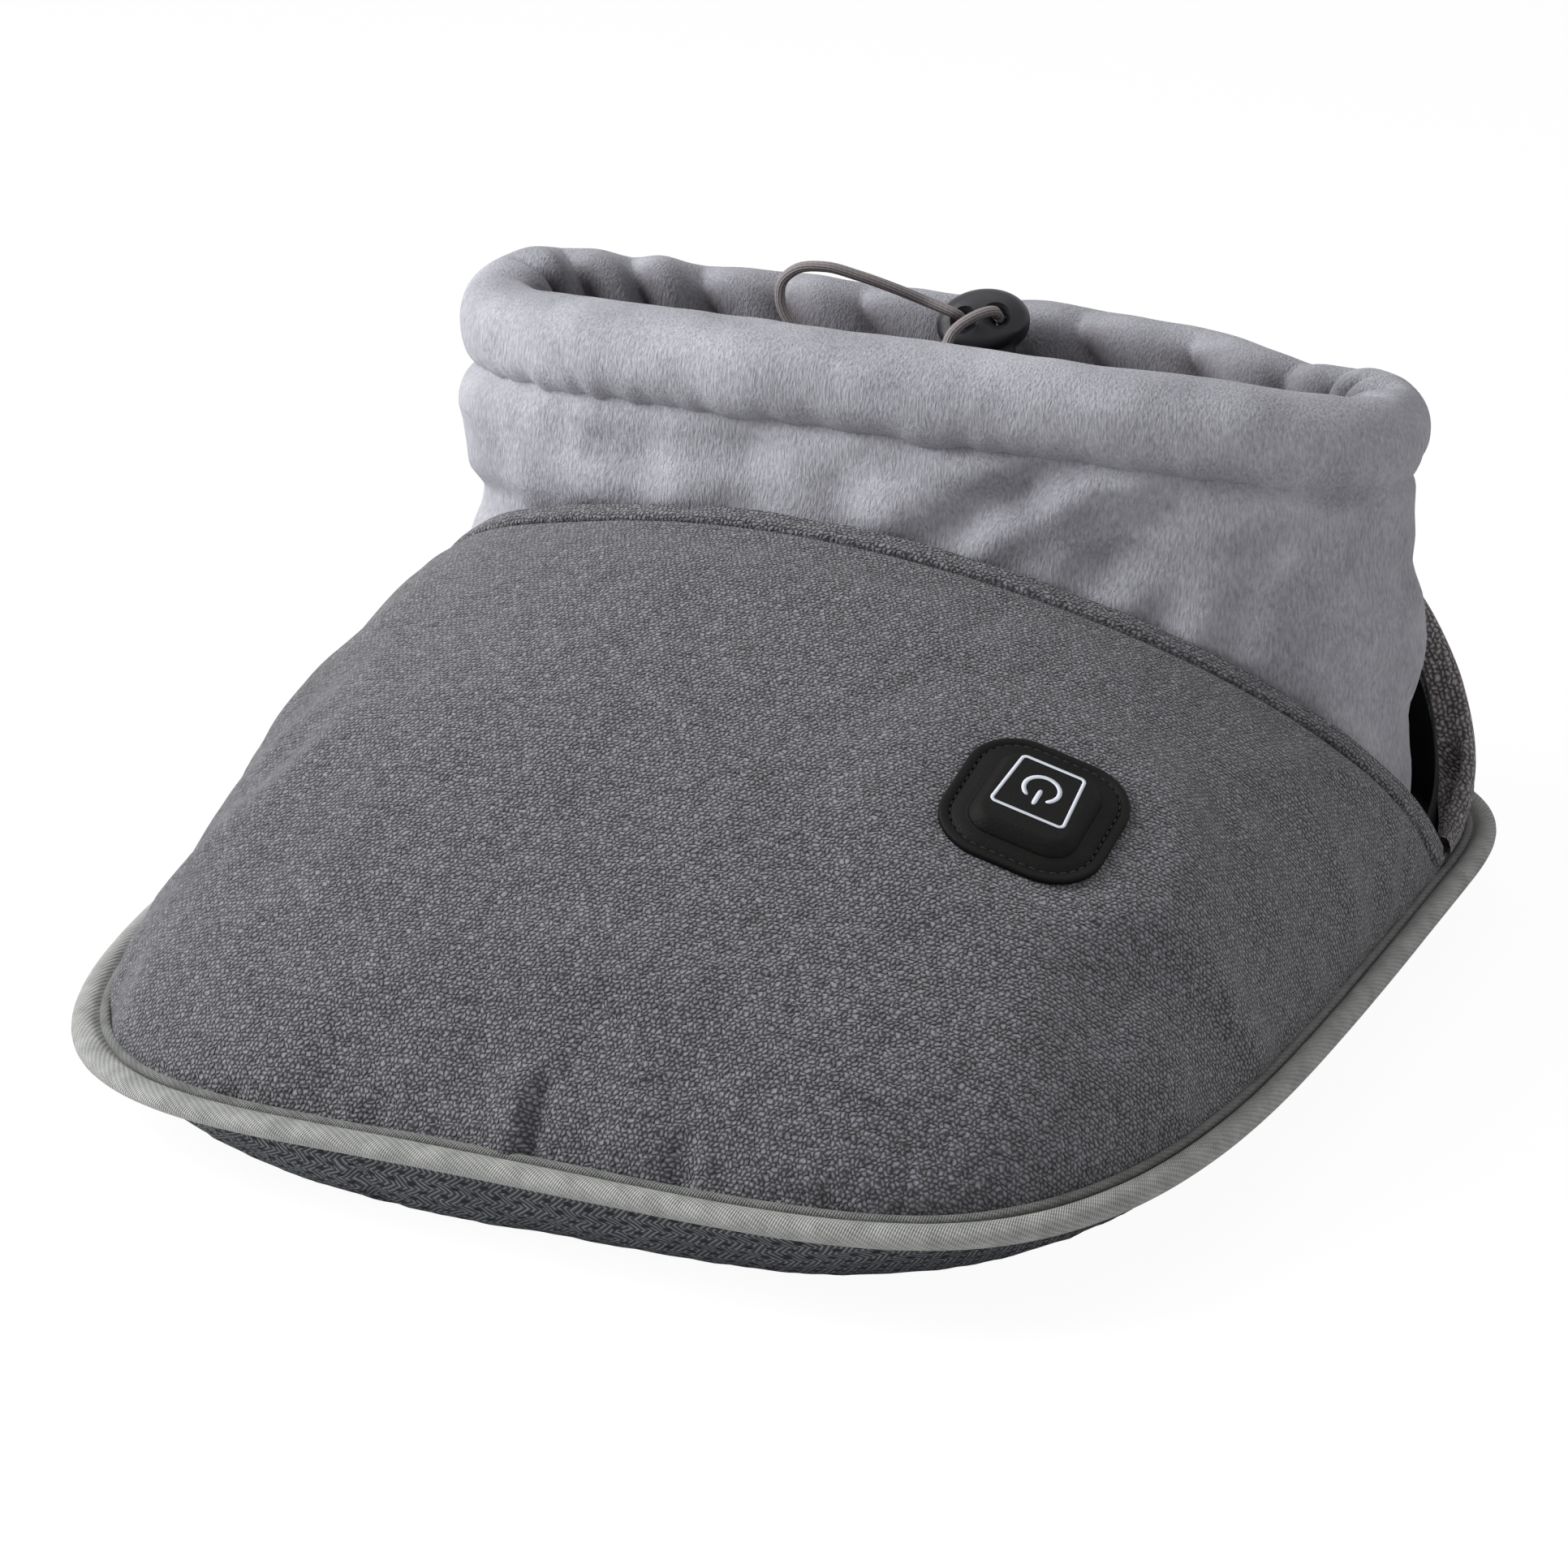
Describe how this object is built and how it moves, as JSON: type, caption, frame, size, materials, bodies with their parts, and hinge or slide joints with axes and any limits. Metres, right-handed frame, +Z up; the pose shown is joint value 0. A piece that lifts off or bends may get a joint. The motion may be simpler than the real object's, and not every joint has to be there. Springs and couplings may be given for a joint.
{
  "type": "electric foot warmer",
  "caption": "Electric foot warmer: a padded boot for both feet with a heated sole, a plush drawcord collar and a push button on its upper.",
  "frame": {"origin": "on the floor under the middle of the base, as the bounding box gives it", "axes": "+Z up, +X to the side with the button (the wearer's left foot's side when seen from the toe), toe towards -Y and heel towards +Y"},
  "size_m": [0.32, 0.35, 0.1706],
  "materials": {
    "spacer_mesh": "dark grey 3-D spacer mesh",
    "foam": "open-cell foam",
    "felt": "needled felt",
    "heating_cable": "silicone sheath",
    "white_plastic": "matt moulded",
    "plated_metal": "plated",
    "plush": "short-pile plush",
    "dark_plush": "short-pile plush, shaded",
    "twill": "fine twill tape",
    "knit": "heather knit",
    "wadding": "polyester wadding",
    "black_lining": "thin black lining cloth",
    "elastic_cord": "braided elastic",
    "dark_plastic": "matt moulded",
    "black_leatherette": "moulded leatherette",
    "black_plastic": "matt moulded",
    "spring_steel": "drawn wire",
    "circuit_board": "solder mask",
    "led_lens": "milky epoxy",
    "lead_sleeve": "vinyl sheath"
  },
  "bodies": {
    "boot": {"sole_cover": "spacer_mesh", "sole_foam": "foam", "heater_mat": "felt", "heating_wire": "heating_cable", "thermostat": "white_plastic", "thermal_fuse": "plated_metal", "return_wire": "heating_cable", "insole": "dark_plush", "edge_piping": "twill", "vamp_cover": "knit", "vamp_wadding": "wadding", "toe_lining": "dark_plush", "vamp_hem": "knit", "heel_counter": "knit", "heel_padding": "wadding", "heel_lining": "black_lining", "heel_hem": "knit", "collar_wall": "plush", "collar_lining": "dark_plush", "collar_roll": "plush", "drawcord": "elastic_cord", "pull_loop": "elastic_cord", "button_patch": "black_leatherette", "switch_housing": "black_plastic", "control_board": "circuit_board", "tact_switch": "black_plastic", "indicator_led": "led_lens", "supply_lead": "lead_sleeve", "heater_lead": "lead_sleeve", "inlet_housing": "black_plastic", "inlet_contact_pin": "plated_metal"},
    "cord_lock": {"cord_lock_body": "dark_plastic", "cord_lock_spring": "spring_steel"},
    "lock_plunger": {"cord_lock_plunger": "dark_plastic"},
    "power_button": {"power_button": "black_leatherette", "switch_stem": "white_plastic"}
  },
  "joints": [
    {"name": "cord_lock_slide", "type": "slide", "parent": "boot", "child": "cord_lock", "axis": [-0.1504, 0.8529, -0.5], "range_m": [0, 0.005]},
    {"name": "lock_plunger_press", "type": "slide", "parent": "cord_lock", "child": "lock_plunger", "axis": [-0.2761, 0.4494, 0.8496], "range_m": [0, 0.0025], "stiffness_N_per_m": 500, "springref_m": -0.001, "deforming": ["cord_lock_spring"]},
    {"name": "power_button_press", "type": "slide", "parent": "boot", "child": "power_button", "axis": [-0.2902, 0.2468, -0.9246], "range_m": [0, 0.0008], "stiffness_N_per_m": 900, "springref_m": -0.0006}
  ]
}
